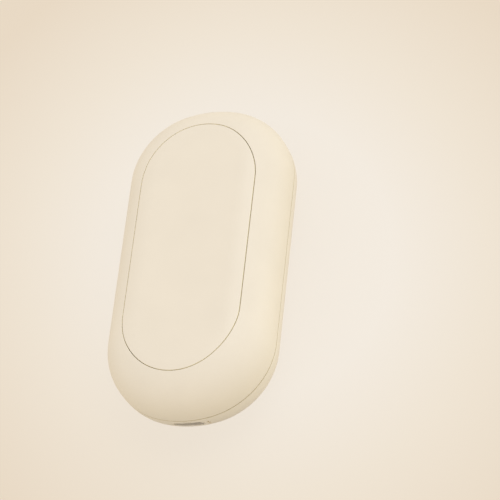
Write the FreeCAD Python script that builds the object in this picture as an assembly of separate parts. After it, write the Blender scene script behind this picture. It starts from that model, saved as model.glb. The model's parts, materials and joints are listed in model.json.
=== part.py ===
import FreeCAD, Part
import math
import os

from FreeCAD import Vector

os.makedirs("parts", exist_ok=True)

# Rechargeable hand warmer, in millimetres. It lies on its button face at z = 0, long axis along Y,
# with the button and the status lights towards +Y, the charging port at -Y and the heat panel on top.

# ---- casing ----
body_width = 50.0
body_length = 100.0
body_thickness = 27.0
corner_ease = 2.2            # corner arcs are this much tighter than half the width
tip_ease = 6.8               # the end arc is this much flatter than half the width
bottom_rounding = 12.6       # rounding round the button's face
side_band = 2.4              # upright band between that and the rounding round the heat panel's face
seam_height = 13.0           # parting line between the two shells
seam_chamfer = 0.15
seam_gap = 0.15              # narrow shadow gap round the seam, and its depth from the outside
seam_gap_depth = 0.6
wall = 2.0
cavity_band = 1.3            # upright band inside, under the pocket that holds the heater
lip_thickness = 0.9          # tongue of the upper shell inside the lower one
lip_height = 1.5
shell_fit = 0.1              # clearance between parts that locate in each other

# ---- heat panel and what lies under it ----
panel_side_margin = 7.3      # from the casing's outline to the panel, at the sides
panel_end_margin = 9.4       # and at the ends
panel_corner_ease = 2.2      # the panel's corner arcs are this much flatter than half its width
panel_tip_ease = 1.25        # and its end arcs this much tighter
panel_gap = 0.15             # groove round the panel
panel_edge_round = 0.2
pocket_edge_round = 0.12     # on the casing, across the groove
panel_edge_thickness = 1.04  # at its sides; it is thicker in its middle, where its face is higher
film_thickness = 0.2
trace_thickness = 0.1
foam_thickness = 1.1
pocket_floor_thickness = 1.2
seal_width = 1.3
seal_gap = 0.4               # between the seal and the film inside it
trace_width = 2.0
trace_pitch = 4.5
trace_edge = 3.0             # from the film's edge to the trace
trace_centre_gap = 2.0       # between the left and the right half of the trace
lead_pad_length = 3.0
cable_slot_length = 11.0
cable_slot_width = 3.0
cable_slot_corner = 1.2
cable_slot_from_end = 14.0   # from the casing's port end to the middle of the slot

# ---- charging port ----
port_below_seam = 1.7        # from the seam down to the socket's upper side
port_recess = 1.0            # the socket's mouth behind the casing's rounded end
port_fit = 0.12
port_edge_round = 0.25
socket_width = 8.94
socket_height = 3.26
socket_depth = 7.35
socket_corner = 1.5
socket_metal = 0.3
tongue_width = 6.7
tongue_thickness = 0.7
tongue_setback = 1.2
contact_count = 8
contact_pitch = 0.75
contact_width = 0.3
contact_thickness = 0.05
contact_length = 3.5
notch_from_middle = 6.0      # narrow notch beside the port, under the seam
notch_width = 0.6
notch_depth = 1.4            # from the casing's end
notch_below_seam = 1.8
notch_height = 2.8

# ---- circuit board ----
board_hole_margin = 2.5      # from a post's hole to the board's edge
board_thickness = 1.2
board_corner = 6.0
board_port_end_gap = 1.4     # from the casing's inside to the board's end
board_light_end_gap = 10.0   # from the casing's end to the board's other end

# ---- screw posts ----
post_across = 16.0           # between the two posts of a pair
post_from_end = 15.5         # from the casing's end to a post
post_wall = 1.15             # round the bore for the screw's head
pin_wall = 0.8               # round the screw's shank, where the post goes through the board
pin_height = 3.0             # how far a post's pin stands above the board
screw_head_radius = 1.9
screw_head_height = 1.4
screw_shank_radius = 1.1
screw_length = 9.5
screw_bore_fit = 0.15
screw_seat_above_pin = 2.0
cross_width = 0.5
cross_length = 2.2
cross_depth = 0.8

# ---- power button ----
button_from_end = 30.0       # from the casing's light end to the button's centre
button_radius = 5.75
button_gap = 0.25
button_recess = 0.15
button_edge_round = 0.2
button_hole_round = 0.2
button_flange_overlap = 0.9  # behind the wall round the button's hole
button_flange_thickness = 0.8
button_travel = 0.3
stem_radius = 1.6
stem_length = 0.97           # from the flange to the switch's plunger
ear_reach = 8.4              # from the button's centre to a guide pin
ear_radius = 1.7
guide_pin_radius = 0.8
guide_pin_spare = 1.9        # how far a guide pin stands out of the pressed button
running_fit = 0.05
symbol_radius = 2.45
symbol_stroke = 0.4
symbol_depth = 0.2
symbol_opening = 38.0        # half of the arc's opening, in degrees
symbol_bar_start = -0.2
symbol_bar_end = 3.7
symbol_bar_round = 0.15

# ---- push switch ----
switch_side = 6.0
switch_plunger_radius = 1.7
switch_plunger_reach = 0.8
switch_chamber_gap = 0.3     # round the plunger's flange
switch_chamber_height = 1.4
switch_chamber_roof = 0.5
switch_flange_radius = 2.1
switch_flange_thickness = 0.5
dome_gap = 0.2
dome_thickness = 0.1

# ---- status lights ----
light_hole_radius = 0.45
light_hole_round = 0.12
light_guide_fit = 0.05
light_guide_recess = 0.6
outer_light_from_end = 19.7
middle_light_from_end = 18.0
outer_light_reach = 5.5
light_column_radius = 0.9
light_guide_web = 1.2
led_length = 1.6
led_width = 0.8
led_height = 0.6
led_air_gap = 0.4

# ---- battery ----
cell_side_gap = 8.0          # from the casing's outline to the cell
cell_post_gap = 0.3          # between the cell's ends and the screw posts
cell_edge_round = 2.5
terrace_length = 4.0
terrace_thickness = 0.6
terrace_margin = 2.0
tape_thickness = 0.8
tape_margin = 3.0
cushion_thickness = 1.5      # foam between the cell and the shell above it
cushion_margin = 4.0
protection_board_thickness = 1.0
protection_board_margin = 1.0

# ---- wiring ----
connector_width = 6.4
connector_length = 4.6
connector_height = 3.6
connector_gap = 0.6
battery_lead_radius = 0.55
battery_lead_spacing = 2.4
battery_lead_bend = 2.0
heater_lead_radius = 0.6
heater_lead_spacing = 7.2
sensor_lead_radius = 0.25
sensor_lead_spacing = 1.6
sensor_length = 2.4
sensor_width = 1.6
sensor_height = 1.0
sensor_round = 0.3

# ---- parts soldered under the board ----
heat_chip_from_button = 13.0  # from the button's centre to the chip's
charge_chip_from_end = 20.0   # the next three are measured from the casing's port end
transistor_from_end = 29.0
inductor_from_end = 32.0
chip_edge = 0.25
capacitor_size = (1.25, 2.0, 1.2)
capacitor_row = (4.5, -8.0)
capacitor_count = 5
capacitor_pitch = 3.4
resistor_size = (0.8, 1.6, 0.5)
resistor_row = (-9.5, -12.0)
resistor_count = 8
resistor_pitch = 2.6


def rounding_inset(rounding, level):
    """How far a rounding takes its wall in, at this level above where the rounding starts."""
    return rounding - math.sqrt(rounding**2 - max(rounding - level, 0.0) ** 2)


# ---- worked out from the values above ----
half_width = body_width / 2
half_length = body_length / 2
panel_half_width = half_width - panel_side_margin
panel_half_length = half_length - panel_end_margin
top_rounding = body_thickness - bottom_rounding - side_band
panel_side_drop = rounding_inset(top_rounding, panel_side_margin)
panel_underside = body_thickness - panel_side_drop - panel_edge_thickness
film_underside = panel_underside - film_thickness
trace_underside = film_underside - trace_thickness
pocket_floor = trace_underside - foam_thickness
cavity_top = pocket_floor - pocket_floor_thickness
cavity_top_rounding = cavity_top - bottom_rounding - cavity_band
port_height = seam_height - port_below_seam - socket_height / 2
board_top = port_height - socket_height / 2
board_bottom = board_top - board_thickness
board_inset = wall + rounding_inset(bottom_rounding - wall, board_bottom - wall)
board_port_end = -half_length + board_inset + board_port_end_gap
socket_mouth = -half_length + rounding_inset(bottom_rounding, board_top) + port_recess
post_y = half_length - post_from_end
post_radius = screw_head_radius + screw_bore_fit + post_wall
pin_radius = screw_shank_radius + pin_wall
board_width = post_across + 2 * (pin_radius + shell_fit + board_hole_margin)
screw_seat = board_top + pin_height + screw_seat_above_pin
button_y = half_length - button_from_end
button_flange_radius = button_radius + button_gap + button_flange_overlap
plunger_tip = wall + button_flange_thickness + stem_length
switch_underside = plunger_tip + switch_plunger_reach
chamber_top = board_bottom - switch_chamber_roof
chamber_bottom = chamber_top - switch_chamber_height
switch_chamber_radius = switch_flange_radius + switch_chamber_gap
dome_radius = switch_chamber_radius - dome_gap
cell_width = body_width - 2 * cell_side_gap
cell_bottom = board_top + tape_thickness
cell_top = cavity_top - cushion_thickness
terrace_end = post_y - post_radius - cell_post_gap
cell_light_end = terrace_end - terrace_length
cell_port_end = -terrace_end
terrace_height = (cell_bottom + cell_top) / 2
cable_slot_y = -half_length + cable_slot_from_end
# name, x, y, length along x, length along y, height
chips = (
    ("heat_controller_chip", -4.5, button_y - heat_chip_from_button, 5.0, 8.0, 1.6),
    ("charge_controller_chip", 0.0, -half_length + charge_chip_from_end, 4.0, 5.0, 1.5),
    ("heater_transistor", -6.0, -half_length + transistor_from_end, 6.5, 6.0, 2.2),
    ("power_inductor", 5.0, -half_length + inductor_from_end, 7.0, 7.0, 3.0),
)
post_places = [(side * post_across / 2, end * post_y) for side in (-1, 1) for end in (-1, 1)]
light_places = (
    ("left", -outer_light_reach, half_length - outer_light_from_end),
    ("middle", 0.0, half_length - middle_light_from_end),
    ("right", outer_light_reach, half_length - outer_light_from_end),
)
over = 1.0                   # how far a cut runs past what it cuts
root = 0.5                   # how deep a post or pin is sunk in the wall that it stands on


def save(name, shape):
    shape.exportStep("parts/" + name + ".step")


def block(x_size, y_size, z_low, z_high, x=0.0, y=0.0):
    corner = Vector(x - x_size / 2, y - y_size / 2, z_low)
    return Part.makeBox(x_size, y_size, z_high - z_low, corner)


def drum(radius, z_low, z_high, x=0.0, y=0.0):
    return Part.makeCylinder(radius, z_high - z_low, Vector(x, y, z_low))


def rounded_block(x_size, y_size, z_low, z_high, radius, x=0.0, y=0.0):
    solid = block(x_size, y_size, z_low, z_high, x, y)
    upright = [edge for edge in solid.Edges if edge.BoundBox.ZLength > (z_high - z_low) / 2]
    return solid.makeFillet(radius, upright)


def arched_outline(wide, long, corner_radius, tip_radius, inset, z):
    """Racetrack whose ends are a tip arc between two corner arcs, moved inwards by inset."""
    flatter_tip = 1 if tip_radius > corner_radius else -1
    tip_y = long - tip_radius
    corner_x = wide - corner_radius
    corner_y = tip_y + flatter_tip * math.sqrt((tip_radius - corner_radius) ** 2 - corner_x**2)
    toward = Vector(corner_x, corner_y - tip_y, 0).normalize() * flatter_tip
    corner_r = corner_radius - inset
    tip_r = tip_radius - inset
    side = wide - inset
    meet = Vector(0, tip_y, 0) + toward * tip_r
    lean = math.atan2(toward.y, toward.x) / 2
    bulge = Vector(corner_x + corner_r * math.cos(lean), corner_y + corner_r * math.sin(lean), 0)
    tip = Vector(0, tip_y + tip_r, 0)
    start = Vector(side, corner_y, 0)

    def left(point):
        return Vector(-point.x, point.y, z)

    def right(point):
        return Vector(point.x, point.y, z)

    def half_turn(point):
        return Vector(-point.x, -point.y, z)

    def mirror_down(point):
        return Vector(point.x, -point.y, z)

    edges = [
        Part.Arc(right(start), right(bulge), right(meet)).toShape(),
        Part.Arc(right(meet), right(tip), left(meet)).toShape(),
        Part.Arc(left(meet), left(bulge), left(start)).toShape(),
        Part.LineSegment(left(start), half_turn(start)).toShape(),
        Part.Arc(half_turn(start), half_turn(bulge), half_turn(meet)).toShape(),
        Part.Arc(half_turn(meet), mirror_down(tip), mirror_down(meet)).toShape(),
        Part.Arc(mirror_down(meet), mirror_down(bulge), mirror_down(start)).toShape(),
        Part.LineSegment(mirror_down(start), right(start)).toShape(),
    ]
    return Part.Face(Part.Wire(edges))


def casing_prism(inset, z_low, z_high):
    face = arched_outline(
        half_width, half_length, half_width - corner_ease, half_width + tip_ease, inset, z_low
    )
    return face.extrude(Vector(0, 0, z_high - z_low))


def panel_prism(inset, z_low, z_high):
    face = arched_outline(
        panel_half_width,
        panel_half_length,
        panel_half_width + panel_corner_ease,
        panel_half_width - panel_tip_ease,
        inset,
        z_low,
    )
    return face.extrude(Vector(0, 0, z_high - z_low))


def level_edges(solid, z):
    return [e for e in solid.Edges if abs(e.BoundBox.ZMin - z) < 1e-4 and e.BoundBox.ZLength < 1e-4]


def pebble(inset, z_low, z_high, low_rounding, high_rounding):
    """The casing's outline with a deep rounding round both of its faces."""
    solid = casing_prism(inset, z_low, z_high)
    solid = solid.makeFillet(high_rounding, level_edges(solid, z_high))
    return solid.makeFillet(low_rounding, level_edges(solid, z_low))


def casing_form():
    return pebble(0.0, 0.0, body_thickness, bottom_rounding, top_rounding)


def cavity_form():
    return pebble(wall, wall, cavity_top, bottom_rounding - wall, cavity_top_rounding)


def slice_between(z_low, z_high):
    return block(body_width + 2 * over, body_length + 2 * over, z_low, z_high)


def seam_lip(clearance):
    """The tongue inside the seam; with a clearance it is the rebate that takes it."""
    low = seam_height - lip_height - clearance
    outside = casing_prism(wall - lip_thickness - clearance, low, seam_height)
    return outside.cut(casing_prism(wall + clearance, low, seam_height))


def port_opening(growth, y_low, y_high):
    height = socket_height + 2 * growth
    flat_sided = Part.makeBox(
        socket_width + 2 * growth,
        y_high - y_low,
        height,
        Vector(-socket_width / 2 - growth, y_low, port_height - height / 2),
    )
    lengthwise = [edge for edge in flat_sided.Edges if edge.BoundBox.YLength > (y_high - y_low) / 2]
    return flat_sided.makeFillet(socket_corner + growth, lengthwise)


def end_notch():
    return block(
        notch_width,
        2 * notch_depth,
        seam_height - notch_below_seam - notch_height,
        seam_height - notch_below_seam,
        notch_from_middle,
        -half_length,
    )


def panel_side_shell():
    edge_height = seam_height + seam_gap
    shell = casing_form().common(slice_between(edge_height, body_thickness))
    shell = shell.makeChamfer(seam_chamfer, level_edges(shell, edge_height))
    shell = shell.fuse(casing_prism(seam_gap_depth, seam_height, edge_height))
    shell = shell.cut(cavity_form())
    shell = shell.cut(panel_prism(-panel_gap, pocket_floor, body_thickness + over))
    groove = panel_prism(-panel_gap - shell_fit, seam_height, body_thickness + over)
    shell = shell.makeFillet(pocket_edge_round, outside_rim(shell, groove))
    lip = seam_lip(0.0)
    room = socket_width + 2 * wall
    lip = lip.cut(block(room, 2 * wall + 2 * over, 0.0, seam_height, 0.0, -half_length))
    shell = shell.fuse(lip)
    for x, y in post_places:
        shell = shell.fuse(drum(post_radius, board_top, cavity_top + root, x, y))
    pin_socket_top = board_top + pin_height + shell_fit
    head_bore_top = pocket_floor + over
    for x, y in post_places:
        shell = shell.cut(drum(pin_radius + shell_fit, board_top, pin_socket_top, x, y))
        shell = shell.cut(drum(screw_shank_radius + screw_bore_fit, board_top, screw_seat, x, y))
        shell = shell.cut(drum(screw_head_radius + screw_bore_fit, screw_seat, head_bore_top, x, y))
    slot = rounded_block(
        cable_slot_length,
        cable_slot_width,
        cavity_top - over,
        pocket_floor + over,
        cable_slot_corner,
        0.0,
        cable_slot_y,
    )
    return shell.cut(slot).removeSplitter()


def button_side_shell():
    shell = casing_form().common(slice_between(0.0, seam_height))
    shell = shell.makeChamfer(seam_chamfer, level_edges(shell, seam_height))
    shell = shell.cut(cavity_form())
    shell = shell.cut(seam_lip(shell_fit))
    for x, y in post_places:
        shell = shell.fuse(drum(post_radius, wall - root, board_bottom, x, y))
        shell = shell.fuse(drum(pin_radius, board_bottom, board_top + pin_height, x, y))
    pin_top = wall + button_flange_thickness + button_travel + guide_pin_spare
    for side in (-1, 1):
        shell = shell.fuse(drum(guide_pin_radius, wall - root, pin_top, side * ear_reach, button_y))
    pilot_low = screw_seat - screw_length - shell_fit
    for x, y in post_places:
        shell = shell.cut(drum(screw_shank_radius, pilot_low, board_top + pin_height, x, y))
    shell = shell.cut(drum(button_radius + button_gap, -over, wall + over, 0.0, button_y))
    for _, x, y in light_places:
        shell = shell.cut(drum(light_hole_radius, -over, wall + over, x, y))
    shell = shell.cut(port_opening(port_fit, -half_length - over, -half_length + 2 * wall))
    shell = shell.cut(end_notch()).removeSplitter()
    shell = shell.makeFillet(button_hole_round, round_rims(shell, button_radius + button_gap))
    shell = shell.makeFillet(light_hole_round, round_rims(shell, light_hole_radius))
    mouth = port_opening(port_fit + shell_fit, -half_length - over, socket_mouth)
    return shell.makeFillet(port_edge_round, outside_rim(shell, mouth))


def round_rims(shell, radius):
    """Where round holes of this radius come out of the button's face."""
    rims = [edge for edge in level_edges(shell, 0.0) if edge.Curve.TypeId == "Part::GeomCircle"]
    return [edge for edge in rims if abs(edge.Curve.Radius - radius) < 1e-6]


def outside_rim(shell, hole):
    """The edges on the casing's outside that lie within the hole, where the hole comes out."""
    skin = casing_form().Shells[0]
    rim = []
    for edge in shell.Edges:
        stretch = edge.LastParameter - edge.FirstParameter
        points = [edge.valueAt(edge.FirstParameter + share * stretch) for share in (0.25, 0.5, 0.75)]
        in_hole = all(hole.isInside(point, 1e-6, True) for point in points)
        if in_hole and all(skin.distToShape(Part.Vertex(point))[0] < 1e-3 for point in points):
            rim.append(edge)
    return rim


def heat_panel():
    """Its upper face continues the casing's rounding, so it is flush all round."""
    panel = casing_form().common(panel_prism(0.0, panel_underside, body_thickness + over))
    rim = [
        edge
        for edge in panel.Edges
        if edge.BoundBox.ZMin > panel_underside + panel_edge_round / 2 and touches_rim(edge)
    ]
    return panel.makeFillet(panel_edge_round, rim)


def touches_rim(edge):
    """True for an edge that lies on the panel's side wall."""
    wall_face = panel_prism(shell_fit, panel_underside - over, body_thickness + over)
    middle = edge.valueAt((edge.FirstParameter + edge.LastParameter) / 2)
    return not wall_face.isInside(middle, 1e-6, False)


def panel_seal():
    ring = panel_prism(shell_fit, pocket_floor, panel_underside)
    return ring.cut(panel_prism(shell_fit + seal_width, pocket_floor, panel_underside))


def film_inset():
    return shell_fit + seal_width + seal_gap


def heater_film():
    return panel_prism(film_inset(), film_underside, panel_underside)


def heater_trace():
    """A flat foil track that runs up the left half of the film and down the right half."""
    reach = panel_half_width - film_inset() - trace_edge
    rows = int(2 * (panel_half_length - panel_half_width) / trace_pitch)
    rows += rows % 2
    low_y = -rows * trace_pitch / 2
    track = None
    for side in (-1, 1):
        inner = side * trace_centre_gap / 2
        outer = side * reach
        for row in range(rows + 1):
            y = low_y + row * trace_pitch
            piece = flat_bar(inner, y, outer, y)
            if row < rows:
                turn = outer if row % 2 == 0 else inner
                piece = piece.fuse(flat_bar(turn, y, turn, y + trace_pitch))
            track = piece if track is None else track.fuse(piece)
        pad_x = side * heater_lead_spacing / 2
        track = track.fuse(flat_bar(pad_x, cable_slot_y, pad_x, low_y))
    high_y = low_y + rows * trace_pitch
    return track.fuse(flat_bar(-reach, high_y, reach, high_y)).removeSplitter()


def flat_bar(x1, y1, x2, y2):
    x_size = abs(x2 - x1) + trace_width
    y_size = abs(y2 - y1) + trace_width
    return block(x_size, y_size, trace_underside, film_underside, (x1 + x2) / 2, (y1 + y2) / 2)


def heater_foam():
    foam = panel_prism(film_inset(), pocket_floor, trace_underside)
    window_depth = cable_slot_width + lead_pad_length
    window = block(
        cable_slot_length, window_depth, pocket_floor, trace_underside, 0.0, cable_slot_y
    )
    return foam.cut(window)


def temperature_sensor():
    low = film_underside - sensor_height
    return rounded_block(
        sensor_length, sensor_width, low, film_underside, sensor_round, 0.0, cable_slot_y
    )


def straight_leads(radius, spacing, z_high):
    leads = [drum(radius, board_top, z_high, side * spacing / 2, cable_slot_y) for side in (-1, 1)]
    return Part.makeCompound(leads)


def main_board():
    light_end = half_length - board_light_end_gap
    length = light_end - board_port_end
    middle = (light_end + board_port_end) / 2
    board = rounded_block(board_width, length, board_bottom, board_top, board_corner, 0.0, middle)
    for x, y in post_places:
        board = board.cut(drum(pin_radius + shell_fit, board_bottom - over, board_top + over, x, y))
    return board


def socket_shell():
    outside = port_opening(0.0, socket_mouth, socket_mouth + socket_depth)
    inside = port_opening(-socket_metal, socket_mouth - over, socket_mouth + socket_depth - socket_metal)
    return outside.cut(inside)


def socket_tongue():
    y_low = socket_mouth + tongue_setback
    y_high = socket_mouth + socket_depth - socket_metal
    low = port_height - tongue_thickness / 2
    high = low + tongue_thickness
    return block(tongue_width, y_high - y_low, low, high, 0.0, (y_low + y_high) / 2)


def socket_contacts():
    middle_y = socket_mouth + tongue_setback + contact_length / 2 + contact_width
    pieces = []
    for face in (-1, 1):
        surface = port_height + face * tongue_thickness / 2
        low = min(surface, surface + face * contact_thickness)
        for index in range(contact_count):
            x = (index - (contact_count - 1) / 2) * contact_pitch
            high = low + contact_thickness
            pieces.append(block(contact_width, contact_length, low, high, x, middle_y))
    return Part.makeCompound(pieces)


def power_symbol():
    """An open ring with an upright bar, cut into the button's face."""
    top = button_recess + symbol_depth
    ring = drum(symbol_radius + symbol_stroke / 2, -over, top, 0.0, button_y)
    ring = ring.cut(drum(symbol_radius - symbol_stroke / 2, -over, top, 0.0, button_y))
    reach = 2 * symbol_radius
    spread = reach * math.tan(math.radians(symbol_opening))
    corners = [
        Vector(0, button_y, -over),
        Vector(spread, button_y + reach, -over),
        Vector(-spread, button_y + reach, -over),
        Vector(0, button_y, -over),
    ]
    wedge = Part.Face(Part.makePolygon(corners)).extrude(Vector(0, 0, top + 2 * over))
    bar_length = symbol_bar_end - symbol_bar_start
    bar_y = button_y + (symbol_bar_start + symbol_bar_end) / 2
    bar = rounded_block(symbol_stroke, bar_length, -over, top, symbol_bar_round, 0.0, bar_y)
    return ring.cut(wedge).fuse(bar)


def button_cap():
    """Round cap with a flange behind the wall, two guide ears and a stem to the switch."""
    cap = drum(button_radius, button_recess, wall, 0.0, button_y)
    cap = cap.makeFillet(button_edge_round, level_edges(cap, button_recess))
    flange_top = wall + button_flange_thickness
    cap = cap.fuse(drum(button_flange_radius, wall, flange_top, 0.0, button_y))
    cap = cap.fuse(block(2 * ear_reach, 2 * ear_radius, wall, flange_top, 0.0, button_y))
    for side in (-1, 1):
        cap = cap.fuse(drum(ear_radius, wall, flange_top, side * ear_reach, button_y))
    cap = cap.fuse(drum(stem_radius, wall, plunger_tip, 0.0, button_y))
    hole_radius = guide_pin_radius + running_fit
    for side in (-1, 1):
        cap = cap.cut(drum(hole_radius, wall, flange_top, side * ear_reach, button_y))
    return cap.cut(power_symbol()).removeSplitter()


def switch_body():
    body = block(switch_side, switch_side, switch_underside, board_bottom, 0.0, button_y)
    bore_radius = switch_plunger_radius + running_fit
    body = body.cut(drum(bore_radius, switch_underside, chamber_top, 0.0, button_y))
    return body.cut(drum(switch_chamber_radius, chamber_bottom, chamber_top, 0.0, button_y))


def switch_plunger():
    flange_top = chamber_bottom + switch_flange_thickness
    plunger = drum(switch_plunger_radius, plunger_tip, flange_top, 0.0, button_y)
    flange = drum(switch_flange_radius, chamber_bottom, flange_top, 0.0, button_y)
    return plunger.fuse(flange).removeSplitter()


def switch_dome():
    """Snap spring: a thin spherical cap whose crown touches the plunger."""
    rise = chamber_top - chamber_bottom - switch_flange_thickness
    sphere_radius = (dome_radius**2 + rise**2) / (2 * rise)
    centre = Vector(0, button_y, chamber_top - rise + sphere_radius)
    ball = Part.makeSphere(sphere_radius, centre)
    hollow = Part.makeSphere(sphere_radius - dome_thickness, centre)
    return ball.cut(hollow).common(drum(dome_radius, chamber_bottom, chamber_top, 0.0, button_y))


def light_guide():
    """One clear moulding: a web on the wall, a pin in each hole and a column up to each light."""
    column_top = board_bottom - led_height - led_air_gap
    web_top = wall + light_guide_web
    guide = None
    for _, x, y in light_places:
        column = drum(light_hole_radius - light_guide_fit, light_guide_recess, wall + root, x, y)
        column = column.fuse(drum(light_column_radius, wall, column_top, x, y))
        guide = column if guide is None else guide.fuse(column)
    outer_y = half_length - outer_light_from_end
    middle_y = half_length - middle_light_from_end
    web = block(2 * outer_light_reach, 2 * light_column_radius, wall, web_top, 0.0, outer_y)
    link = block(2 * light_column_radius, middle_y - outer_y, wall, web_top, 0.0, (middle_y + outer_y) / 2)
    return guide.fuse(web).fuse(link).removeSplitter()


def status_led(x, y):
    return block(led_length, led_width, board_bottom - led_height, board_bottom, x, y)


def battery_cell():
    length = cell_light_end - cell_port_end
    middle = (cell_light_end + cell_port_end) / 2
    cell = block(cell_width, length, cell_bottom, cell_top, 0.0, middle)
    cell = cell.makeFillet(cell_edge_round, cell.Edges)
    terrace = block(
        cell_width - 2 * terrace_margin,
        terrace_length + cell_edge_round,
        terrace_height - terrace_thickness,
        terrace_height,
        0.0,
        terrace_end - (terrace_length + cell_edge_round) / 2,
    )
    return cell.fuse(terrace).removeSplitter()


def protection_board():
    width = cell_width - 2 * (terrace_margin + protection_board_margin)
    depth = terrace_length - protection_board_margin
    high = terrace_height + protection_board_thickness
    return block(width, depth, terrace_height, high, 0.0, terrace_end - depth / 2)


def battery_tape():
    length = cell_light_end - cell_port_end - 2 * tape_margin
    middle = (cell_light_end + cell_port_end) / 2
    width = board_width - 2 * shell_fit
    return block(width, length, board_top, cell_bottom, 0.0, middle)


def battery_cushion():
    length = cell_light_end - cell_port_end - 2 * cushion_margin
    middle = (cell_light_end + cell_port_end) / 2
    return block(cell_width - 2 * cushion_margin, length, cell_top, cavity_top, 0.0, middle)


def connector_middle():
    return terrace_end + connector_gap + connector_length / 2


def battery_connector():
    high = board_top + connector_height
    return block(connector_width, connector_length, board_top, high, 0.0, connector_middle())


def battery_lead(side):
    """From the protection board's edge, over a bend, down into the connector."""
    x = side * battery_lead_spacing / 2
    z = terrace_height + protection_board_thickness / 2
    down_y = connector_middle()
    bend = battery_lead_bend
    slope = bend * math.sqrt(0.5)
    leave = Vector(x, terrace_end, z)
    bend_start = Vector(x, down_y - bend, z)
    bend_middle = Vector(x, down_y - bend + slope, z - bend + slope)
    bend_end = Vector(x, down_y, z - bend)
    arrive = Vector(x, down_y, board_top + connector_height)
    route = Part.Wire(
        [
            Part.LineSegment(leave, bend_start).toShape(),
            Part.Arc(bend_start, bend_middle, bend_end).toShape(),
            Part.LineSegment(bend_end, arrive).toShape(),
        ]
    )
    section = Part.Wire(Part.makeCircle(battery_lead_radius, leave, Vector(0, 1, 0)))
    return route.makePipeShell([section], True, False)


def chip(x, y, x_size, y_size, height):
    body = block(x_size, y_size, board_bottom - height, board_bottom, x, y)
    return body.makeChamfer(chip_edge, level_edges(body, board_bottom - height))


def component_row(place, size, count, pitch):
    x, y = place
    return Part.makeCompound(
        [
            block(size[0], size[1], board_bottom - size[2], board_bottom, x, y + index * pitch)
            for index in range(count)
        ]
    )


def case_screws():
    screws = []
    for x, y in post_places:
        tip = screw_seat - screw_length
        screw = drum(screw_head_radius, screw_seat, screw_seat + screw_head_height, x, y)
        screw = screw.fuse(drum(screw_shank_radius, tip, screw_seat, x, y))
        head_top = screw_seat + screw_head_height
        for long_x, long_y in ((cross_length, cross_width), (cross_width, cross_length)):
            screw = screw.cut(block(long_x, long_y, head_top - cross_depth, head_top + over, x, y))
        screws.append(screw)
    return Part.makeCompound(screws)


save("panel_side_shell", panel_side_shell())
save("button_side_shell", button_side_shell())
save("heat_panel", heat_panel())
save("panel_seal", panel_seal())
save("heater_film", heater_film())
save("heater_trace", heater_trace())
save("heater_foam", heater_foam())
save("temperature_sensor", temperature_sensor())
sensor_underside = film_underside - sensor_height
save("sensor_leads", straight_leads(sensor_lead_radius, sensor_lead_spacing, sensor_underside))
save("heater_leads", straight_leads(heater_lead_radius, heater_lead_spacing, trace_underside))
save("main_board", main_board())
save("usb_socket_shell", socket_shell())
save("usb_socket_tongue", socket_tongue())
save("usb_socket_contacts", socket_contacts())
save("button_cap", button_cap())
save("switch_body", switch_body())
save("switch_plunger", switch_plunger())
save("switch_dome", switch_dome())
save("light_guide", light_guide())
for place_name, place_x, place_y in light_places:
    save("status_led_" + place_name, status_led(place_x, place_y))
save("battery_cell", battery_cell())
save("cell_protection_board", protection_board())
save("battery_tape", battery_tape())
save("battery_cushion", battery_cushion())
save("battery_connector", battery_connector())
save("battery_lead_positive", battery_lead(1))
save("battery_lead_negative", battery_lead(-1))
for chip_name, *chip_sizes in chips:
    save(chip_name, chip(*chip_sizes))
save("board_capacitors", component_row(capacitor_row, capacitor_size, capacitor_count, capacitor_pitch))
save("board_resistors", component_row(resistor_row, resistor_size, resistor_count, resistor_pitch))
save("case_screws", case_screws())
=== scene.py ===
import json
import math

import bpy
from mathutils import Matrix, Vector

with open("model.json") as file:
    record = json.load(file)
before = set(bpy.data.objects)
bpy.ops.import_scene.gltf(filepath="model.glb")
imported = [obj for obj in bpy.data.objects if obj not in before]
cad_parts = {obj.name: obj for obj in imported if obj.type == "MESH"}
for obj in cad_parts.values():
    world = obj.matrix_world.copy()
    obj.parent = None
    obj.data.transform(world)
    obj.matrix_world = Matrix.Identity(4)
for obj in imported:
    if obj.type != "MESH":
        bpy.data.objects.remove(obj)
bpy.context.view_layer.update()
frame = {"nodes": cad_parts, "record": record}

# Rechargeable hand warmer, lying on its button face with the heat panel up.
# Lengths are in metres, in the CAD's own frame; MM turns millimetres into metres.
MM = 0.001

# ---- camera: where the photograph was taken from ----
CAMERA_AZIMUTH = 34.283
CAMERA_ELEVATION = 54.085
CAMERA_ROLL = -33.513
CAMERA_DISTANCE = 724.57 * MM
CAMERA_AIM = Vector((13.81, 4.13, 13.5)) * MM
SENSOR_WIDTH = 36.0
CAMERA_LENS = 179.65

# ---- colours, as sRGB values ----
CREAM = (240, 229, 212)
# painted shade: a darker cream on the lips of the parting line, standing in for the shade in its gap
SEAM_SHADE = (205, 192, 158)
# painted shade: a yellower cream for the shade on the upright walls of the groove round the panel
GROOVE_SHADE = (240, 229, 195)
# painted pool of light on the floor: lightest in the middle, darker towards the corners
BACKDROP_MIDDLE = (244, 236, 225)
BACKDROP_EDGE = (240, 229, 213)
BACKDROP_CORNER = (233, 218, 198)
NEAR_BOUNCE = (96, 88, 62)       # the floor, as it lights the casing from close by
FAR_BOUNCE = (240, 230, 202)     # the same from further off

# ---- where the parting line and the groove round the panel lie, in millimetres, for the painted shade on them ----
SEAM_LOW = 12.89
SEAM_HIGH = 13.2
SEAM_FADE = 0.02
PANEL_SPINE = 22.9               # half the length of the line that the panel's ends are rounded about
POCKET_REACH = 18.8              # from that line to just outside the groove
POCKET_FADE = 0.5
POCKET_LOW = 22.0
POCKET_FULL = 23.0
LEVEL_NORMAL = 0.8               # the upward part of the normal of a face that doesn't count as upright
UPRIGHT_NORMAL = 0.3             # and of one that fully does

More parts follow.
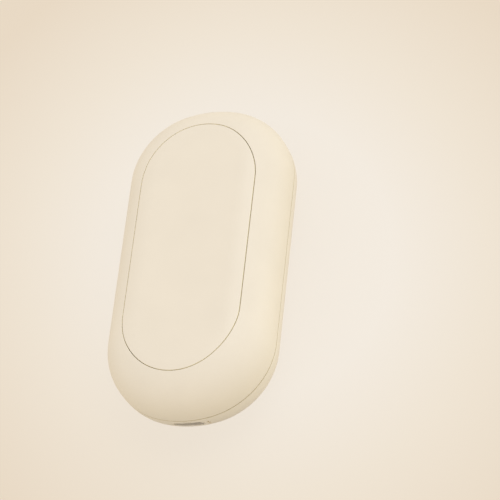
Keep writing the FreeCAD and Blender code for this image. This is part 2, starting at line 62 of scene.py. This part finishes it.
# ---- unevenness of the materials, with sizes and depths in millimetres ----
NOISE_LOW = 0.3                  # most noise lies between these two
NOISE_HIGH = 0.7
CLOUD_SIZE = 14.0
SPECK_TO_GRAIN = 2.5
SPECK_STRENGTH = 0.35
SPECK_DARKER = 1.5               # specks darken the cream this many times as much as the clouds
GLOSS_PATCH = 5.0
GLOSS_LESS = 0.03
GLOSS_MORE = 0.04
SWELL_SIZE = 9.0
SWELL_DEPTH = 0.02
SWELL_STRENGTH = 0.35
STREAK_SIZE = 3.0
STREAK_STRETCH = (1.0, 0.06, 1.0)
STREAK_GLOSS = (0.34, 0.42)
PIECE_TONES = (0.85, 1.1)
PIECE_SPECK = 3.0                # specks and gloss patches of an inner piece, as multiples of its grain
PIECE_PATCH = 6.0
PIECE_GLOSS_SPREAD = 0.06

# ---- stage ----
FLOOR_HALF = 1.6
FLOOR_DROP = 0.05 * MM           # keeps the floor clear of the face that rests on it
FLOOR_MIDDLE = (8.3 * MM, 12.2 * MM, 0.0)    # where the camera's axis meets the floor
FLOOR_REACH = 104 * MM           # from there to the corners of the picture
MIDDLE_STOP = 0.4                # shares of that reach at which the middle and edge colours lie
EDGE_STOP = 0.66
SHADOW_SHARE = 0.2               # how much of the floor's look is lit; the rest is its plain colour

# ---- how the floor lights the casing, with lengths in millimetres ----
CASING_HALF = 25.0
NEAR_REACH = 10.0                # from the casing's outline to where the near bounce ends
FAR_REACH = 45.0                 # and to where the far bounce starts
BOUNCE_WIDEN = 1.7               # the light comes from the sides, so the floor is dimmer beyond the ends
GLOW_REACH = 14.0                # how far off the floor its glow lights the underside
GLOW = (0.78, 0.76, 0.74, 1.0)

# ---- light ----
WORLD_LIGHT = 0.875
WORLD_TINT = (1.0, 0.965, 0.91, 1.0)
# name, place in metres, side of the soft box, level and tint; at level 1 a colour shows as it is
KEY_LAMP = ("key_lamp", (0.35, 0.32, 0.85), 0.7, 0.18, (0.78, 0.9, 1.0))
SIDE_LAMP = ("side_lamp", (0.84, 0.33, 0.05), 0.6, 0.17, (0.7, 0.85, 1.0))
UNDER_LAMP = ("under_lamp", (0.0, 0.0, -0.8), 0.8, 0.28, (1.0, 1.0, 1.0))


def linear(srgb):
    """An sRGB colour, each channel 0 to 255, as linear RGBA."""
    channels = [c / 255 for c in srgb]
    return [c / 12.92 if c <= 0.04045 else ((c + 0.055) / 1.055) ** 2.4 for c in channels] + [1.0]


def scaled(colour, factor):
    return [c * factor for c in colour[:3]] + [1.0]


class Nodes:
    """A node tree, with a short call for each kind of node used here."""

    def __init__(self, tree):
        self.tree = tree

    def add(self, kind, **settings):
        node = self.tree.nodes.new("ShaderNode" + kind)
        for key, value in settings.items():
            setattr(node, key, value)
        return node

    def join(self, source, target):
        self.tree.links.new(source, target)

    def place(self, stretch=(1.0, 1.0, 1.0)):
        """The point on the piece, in millimetres, stretched along the axes."""
        coordinates = self.add("TexCoord")
        mapping = self.add("Mapping")
        mapping.inputs["Scale"].default_value = [s / MM for s in stretch]
        self.join(coordinates.outputs["Object"], mapping.inputs["Vector"])
        return mapping.outputs["Vector"]

    def noise(self, size, stretch=(1.0, 1.0, 1.0), detail=3.0):
        """Cloudy noise whose patches are about this many millimetres across."""
        texture = self.add("TexNoise")
        texture.inputs["Scale"].default_value = 1.0 / size
        texture.inputs["Detail"].default_value = detail
        self.join(self.place(stretch), texture.inputs["Vector"])
        return texture.outputs["Fac"]

    def spread(self, value, start, end, low=0.0, high=1.0):
        """The range start to end of a value spread over low to high."""
        ranger = self.add("MapRange")
        ranger.inputs["From Min"].default_value = start
        ranger.inputs["From Max"].default_value = end
        ranger.inputs["To Min"].default_value = low
        ranger.inputs["To Max"].default_value = high
        self.join(value, ranger.inputs["Value"])
        return ranger.outputs["Result"]

    def remap(self, noise, low, high):
        """Noise spread over low to high."""
        return self.spread(noise, NOISE_LOW, NOISE_HIGH, low, high)

    def combine(self, operation, first, second):
        node = self.add("Math", operation=operation)
        self.join(first, node.inputs[0])
        self.join(second, node.inputs[1])
        return node.outputs["Value"]

    def product(self, first, second):
        return self.combine("MULTIPLY", first, second)

    def larger(self, first, second):
        return self.combine("MAXIMUM", first, second)

    def vector(self, operation, vector, other=(0.0, 0.0, 0.0)):
        """The node of a vector operation, on a vector and a fixed one."""
        node = self.add("VectorMath", operation=operation)
        self.join(vector, node.inputs[0])
        node.inputs[1].default_value = other
        return node

    def upward(self, vector):
        parts = self.add("SeparateXYZ")
        self.join(vector, parts.inputs["Vector"])
        return parts.outputs["Z"]

    def upright(self):
        """1 on upright faces and 0 on faces that look up."""
        normal = self.add("NewGeometry").outputs["Normal"]
        return self.spread(self.upward(normal), LEVEL_NORMAL, UPRIGHT_NORMAL)

    def from_spine(self, spine_half, widen=1.0):
        """Millimetres, seen from above, to a line of this half length along the middle of the part."""
        positive = self.vector("ABSOLUTE", self.place((widen, 1.0, 0.0)))
        beyond = self.vector("SUBTRACT", positive.outputs["Vector"], (0.0, spine_half, 0.0))
        outside = self.vector("MAXIMUM", beyond.outputs["Vector"])
        return self.vector("LENGTH", outside.outputs["Vector"]).outputs["Value"]

    def between(self, factor, first, second):
        """A colour between two colours or sockets."""
        mixer = self.add("Mix", data_type="RGBA")
        self.join(factor, mixer.inputs["Factor"])
        for socket, colour in ((mixer.inputs[6], first), (mixer.inputs[7], second)):
            if hasattr(colour, "links"):
                self.join(colour, socket)
            else:
                socket.default_value = colour
        return mixer.outputs[2]

    def mix(self, factor, first, second):
        """A shader between two shaders."""
        mixer = self.add("MixShader")
        self.join(factor, mixer.inputs["Fac"])
        self.join(first, mixer.inputs[1])
        self.join(second, mixer.inputs[2])
        return mixer.outputs["Shader"]

    def bump(self, height, depth, strength=1.0, under=None):
        """Relief this many millimetres deep, on top of another where one is given."""
        node = self.add("Bump")
        node.inputs["Distance"].default_value = depth * MM
        node.inputs["Strength"].default_value = strength
        self.join(height, node.inputs["Height"])
        if under is not None:
            self.join(under, node.inputs["Normal"])
        return node.outputs["Normal"]


class MaterialNodes(Nodes):
    """The node tree of a new material."""

    def __init__(self, name):
        self.material = bpy.data.materials.new(name)
        self.material.use_nodes = True
        super().__init__(self.material.node_tree)
        self.shader = self.tree.nodes["Principled BSDF"]
        self.output = self.tree.nodes["Material Output"]

    def feed(self, name, source):
        """Gives an input of the shader a socket or a fixed value."""
        if hasattr(source, "links"):
            self.join(source, self.shader.inputs[name])
        else:
            self.shader.inputs[name].default_value = source


# ---- materials ----
def moulded_plastic(name, grain=0.12, grain_depth=0.004, clouds=0.03):
    """Cream plastic with a fine grain and faint clouding, and the socket of its tone."""
    nodes = MaterialNodes(name)
    cream = linear(CREAM)
    patches = nodes.remap(nodes.noise(CLOUD_SIZE), 0.0, 1.0)
    tone = nodes.between(patches, scaled(cream, 1.0 - clouds), scaled(cream, 1.0 + clouds / 2))
    specks = nodes.remap(nodes.noise(grain * SPECK_TO_GRAIN, detail=2.0), 0.0, SPECK_STRENGTH)
    tone = nodes.between(specks, tone, scaled(cream, 1.0 - clouds * SPECK_DARKER))
    nodes.feed("Base Color", tone)
    fine = nodes.bump(nodes.noise(grain, detail=2.0), grain_depth)
    swell = nodes.noise(SWELL_SIZE, detail=1.0)
    nodes.feed("Normal", nodes.bump(swell, SWELL_DEPTH, SWELL_STRENGTH, fine))
    return nodes, tone


def uneven_gloss(nodes, roughness):
    gloss = nodes.noise(GLOSS_PATCH, detail=4.0)
    nodes.feed("Roughness", nodes.remap(gloss, roughness - GLOSS_LESS, roughness + GLOSS_MORE))


def casing_plastic():
    """The casing's plastic, with painted shade on the lips of the parting line and a painted shade
    colour on the wall round the panel.
    """
    nodes, tone = moulded_plastic("casing_plastic")
    uneven_gloss(nodes, 0.46)
    nodes.feed("Specular IOR Level", 0.35)
    height = nodes.upward(nodes.place())
    above = nodes.spread(height, SEAM_LOW - SEAM_FADE, SEAM_LOW)
    below = nodes.spread(height, SEAM_HIGH + SEAM_FADE, SEAM_HIGH)
    # painted shade: the band between SEAM_LOW and SEAM_HIGH, on the parting line's lips, is darkened
    tone = nodes.between(nodes.product(above, below), tone, linear(SEAM_SHADE))
    # painted shade: the upright wall just outside the panel takes the yellower groove shade colour
    inside = nodes.spread(nodes.from_spine(PANEL_SPINE), POCKET_REACH + POCKET_FADE, POCKET_REACH)
    raised = nodes.spread(height, POCKET_LOW, POCKET_FULL)
    wall = nodes.product(nodes.product(inside, raised), nodes.upright())
    nodes.feed("Base Color", nodes.between(wall, tone, linear(GROOVE_SHADE)))
    return nodes.material


def panel_coat():
    """Satin coat whose gloss varies along the panel, as a wiped-on coat does."""
    nodes, tone = moulded_plastic("panel_coat", grain=0.09, grain_depth=0.002, clouds=0.02)
    nodes.feed("Roughness", nodes.remap(nodes.noise(STREAK_SIZE, STREAK_STRETCH), *STREAK_GLOSS))
    nodes.feed("Specular IOR Level", 0.4)
    # painted shade: the panel's upright edges, down in the groove, take the yellower groove shade colour
    nodes.feed("Base Color", nodes.between(nodes.upright(), tone, linear(GROOVE_SHADE)))
    return nodes.material


def button_plastic():
    nodes, _ = moulded_plastic("button_plastic", grain=0.1, grain_depth=0.003)
    uneven_gloss(nodes, 0.42)
    return nodes.material


def plain_piece(name, colour, roughness, metal=0.0, grain=0.3, depth=0.01, stretch=(1.0, 1.0, 1.0)):
    """An inner piece's material: a toned colour, an uneven gloss and a fine relief."""
    nodes = MaterialNodes(name)
    specks = nodes.remap(nodes.noise(grain * PIECE_SPECK, stretch), 0.0, 1.0)
    darker, lighter = (scaled(colour, factor) for factor in PIECE_TONES)
    nodes.feed("Base Color", nodes.between(specks, darker, lighter))
    gloss = nodes.noise(grain * PIECE_PATCH)
    low, high = roughness - PIECE_GLOSS_SPREAD, roughness + PIECE_GLOSS_SPREAD
    nodes.feed("Roughness", nodes.remap(gloss, low, high))
    nodes.feed("Metallic", metal)
    nodes.feed("Normal", nodes.bump(nodes.noise(grain, stretch), depth))
    return nodes.material


INNER_LOOKS = {
    "smoked_plastic": dict(roughness=0.2),
    "white_foam": dict(roughness=0.9, grain=0.5, depth=0.08),
    "seal_rubber": dict(roughness=0.7),
    "amber_film": dict(roughness=0.25),
    "copper_foil": dict(roughness=0.35, metal=1.0),
    "sensor_ceramic": dict(roughness=0.4),
    "red_wire": dict(roughness=0.45),
    "black_wire": dict(roughness=0.45),
    "white_wire": dict(roughness=0.45),
    "circuit_board": dict(roughness=0.35),
    "steel": dict(roughness=0.28, metal=1.0, stretch=(1.0, 0.15, 1.0)),
    "black_plastic": dict(roughness=0.5),
    "ivory_plastic": dict(roughness=0.5),
    "gold_contact": dict(roughness=0.25, metal=1.0),
    "led_white": dict(roughness=0.35),
    "cell_foil": dict(roughness=0.38, metal=1.0),
    "cell_tape": dict(roughness=0.3),
    "chip_body": dict(roughness=0.6),
    "ferrite": dict(roughness=0.7),
    "capacitor_body": dict(roughness=0.45),
}


def make_materials():
    """Every slot's material; the inner pieces take their colours from the record."""
    for plain in list(bpy.data.materials):
        bpy.data.materials.remove(plain)
    made = {
        "casing_plastic": casing_plastic(),
        "panel_coat": panel_coat(),
        "button_plastic": button_plastic(),
    }
    colours = {entry["slot"]: entry["base_color"] for entry in frame["record"]["materials"]}
    for slot, look in INNER_LOOKS.items():
        made[slot] = plain_piece(slot, colours[slot], **look)
    return made


def dress_nodes(materials):
    for entry in frame["record"]["subparts"]:
        piece = frame["nodes"][entry["node"]]
        piece.data.materials.clear()
        piece.data.materials.append(materials[entry["material_slot"]])


# ---- stage, light and camera ----
def backdrop_colour(nodes):
    """Pale cream with a painted pool of light, lightest round the middle of the floor and darker towards
    the picture's corners.
    """
    coordinates = nodes.add("TexCoord")
    flat = nodes.add("Mapping", vector_type="TEXTURE")
    flat.inputs["Location"].default_value = FLOOR_MIDDLE
    flat.inputs["Rotation"].default_value = (0.0, 0.0, math.radians(CAMERA_AZIMUTH))
    flat.inputs["Scale"].default_value = (1.0, 1.0 / math.sin(math.radians(CAMERA_ELEVATION)), 1.0)
    nodes.join(coordinates.outputs["Object"], flat.inputs["Vector"])
    offset = nodes.vector("LENGTH", flat.outputs["Vector"])
    ramp = nodes.add("ValToRGB")
    nodes.join(nodes.spread(offset.outputs["Value"], 0.0, FLOOR_REACH), ramp.inputs["Fac"])
    stops = ramp.color_ramp.elements
    stops[0].position = MIDDLE_STOP
    stops[0].color = linear(BACKDROP_MIDDLE)
    stops[1].color = linear(BACKDROP_CORNER)
    stops.new(EDGE_STOP).color = linear(BACKDROP_EDGE)
    return ramp.outputs["Color"]


def floor_surface(nodes):
    """The floor from above: its own colour to the camera, and a set bounce of light on the casing."""
    colour = backdrop_colour(nodes)
    path = nodes.add("LightPath").outputs
    distance = nodes.from_spine(CASING_HALF, BOUNCE_WIDEN)
    far = nodes.spread(distance, CASING_HALF + NEAR_REACH, CASING_HALF + FAR_REACH)
    bounce = nodes.between(far, linear(NEAR_BOUNCE), linear(FAR_BOUNCE))
    lit = nodes.add("BsdfDiffuse")
    nodes.join(nodes.between(path["Is Diffuse Ray"], colour, bounce), lit.inputs["Color"])
    close = nodes.spread(path["Ray Length"], GLOW_REACH * MM, 0.0)
    glow = nodes.add("Emission")
    glow.inputs["Color"].default_value = GLOW
    nodes.join(nodes.product(close, path["Is Diffuse Ray"]), glow.inputs["Strength"])
    lit_up = nodes.add("AddShader")
    nodes.join(lit.outputs["BSDF"], lit_up.inputs[0])
    nodes.join(glow.outputs["Emission"], lit_up.inputs[1])
    plain = nodes.add("Emission")
    nodes.join(colour, plain.inputs["Color"])
    seen = nodes.spread(path["Is Camera Ray"], 0.0, 1.0, 0.0, 1.0 - SHADOW_SHARE)
    return nodes.mix(seen, lit_up.outputs["Shader"], plain.outputs["Emission"])


def make_floor():
    """A pale floor that shows the part's shadow from above and nothing from below."""
    bpy.ops.mesh.primitive_plane_add(size=2 * FLOOR_HALF, location=(0.0, 0.0, -FLOOR_DROP))
    floor = bpy.context.object
    floor.name = "floor"
    nodes = MaterialNodes("backdrop")
    from_below = nodes.add("NewGeometry").outputs["Backfacing"]
    open_way = nodes.larger(from_below, nodes.add("LightPath").outputs["Is Shadow Ray"])
    clear = nodes.add("BsdfTransparent").outputs["BSDF"]
    nodes.join(nodes.mix(open_way, floor_surface(nodes), clear), nodes.output.inputs["Surface"])
    floor.data.materials.append(nodes.material)


def make_world():
    """Warm white light from all round; the camera and reflections see the pale backdrop instead."""
    world = bpy.data.worlds.new("studio")
    bpy.context.scene.world = world
    world.use_nodes = True
    nodes = Nodes(world.node_tree)
    light = nodes.tree.nodes["Background"]
    light.inputs["Color"].default_value = WORLD_TINT
    light.inputs["Strength"].default_value = WORLD_LIGHT
    seen = nodes.add("Background")
    seen.inputs["Color"].default_value = linear(BACKDROP_CORNER)
    path = nodes.add("LightPath").outputs
    looked_at = nodes.larger(path["Is Camera Ray"], path["Is Transmission Ray"])
    looked_at = nodes.larger(looked_at, path["Is Glossy Ray"])
    surface = nodes.mix(looked_at, light.outputs["Background"], seen.outputs["Background"])
    nodes.join(surface, nodes.tree.nodes["World Output"].inputs["Surface"])


def make_lamp(name, place, size, level, tint):
    """A square soft box that gives this irradiance at the object."""
    place = Vector(place)
    lamp = bpy.data.lights.new(name, "AREA")
    lamp.size = size
    lamp.color = tint
    lamp.energy = level * math.pi**2 * place.length_squared
    box = bpy.data.objects.new(name, lamp)
    bpy.context.scene.collection.objects.link(box)
    box.location = place
    box.rotation_euler = place.to_track_quat("Z", "Y").to_euler()
    return box


def make_lamps():
    make_lamp(*KEY_LAMP)
    make_lamp(*SIDE_LAMP)
    make_lamp(*UNDER_LAMP).visible_camera = False


def make_camera():
    data = bpy.data.cameras.new("camera")
    data.sensor_width = SENSOR_WIDTH
    data.lens = CAMERA_LENS
    camera = bpy.data.objects.new("camera", data)
    bpy.context.scene.collection.objects.link(camera)
    bpy.context.scene.camera = camera
    azimuth = math.radians(CAMERA_AZIMUTH)
    elevation = math.radians(CAMERA_ELEVATION)
    level = math.cos(elevation)
    back = Vector((math.sin(azimuth) * level, -math.cos(azimuth) * level, math.sin(elevation)))
    upright = back.to_track_quat("Z", "Y").to_matrix().to_4x4()
    roll = Matrix.Rotation(math.radians(CAMERA_ROLL), 4, "Z")
    camera.matrix_world = Matrix.Translation(CAMERA_AIM + back * CAMERA_DISTANCE) @ upright @ roll


bpy.context.scene.view_settings.view_transform = "Standard"
dress_nodes(make_materials())
make_floor()
make_world()
make_lamps()
make_camera()
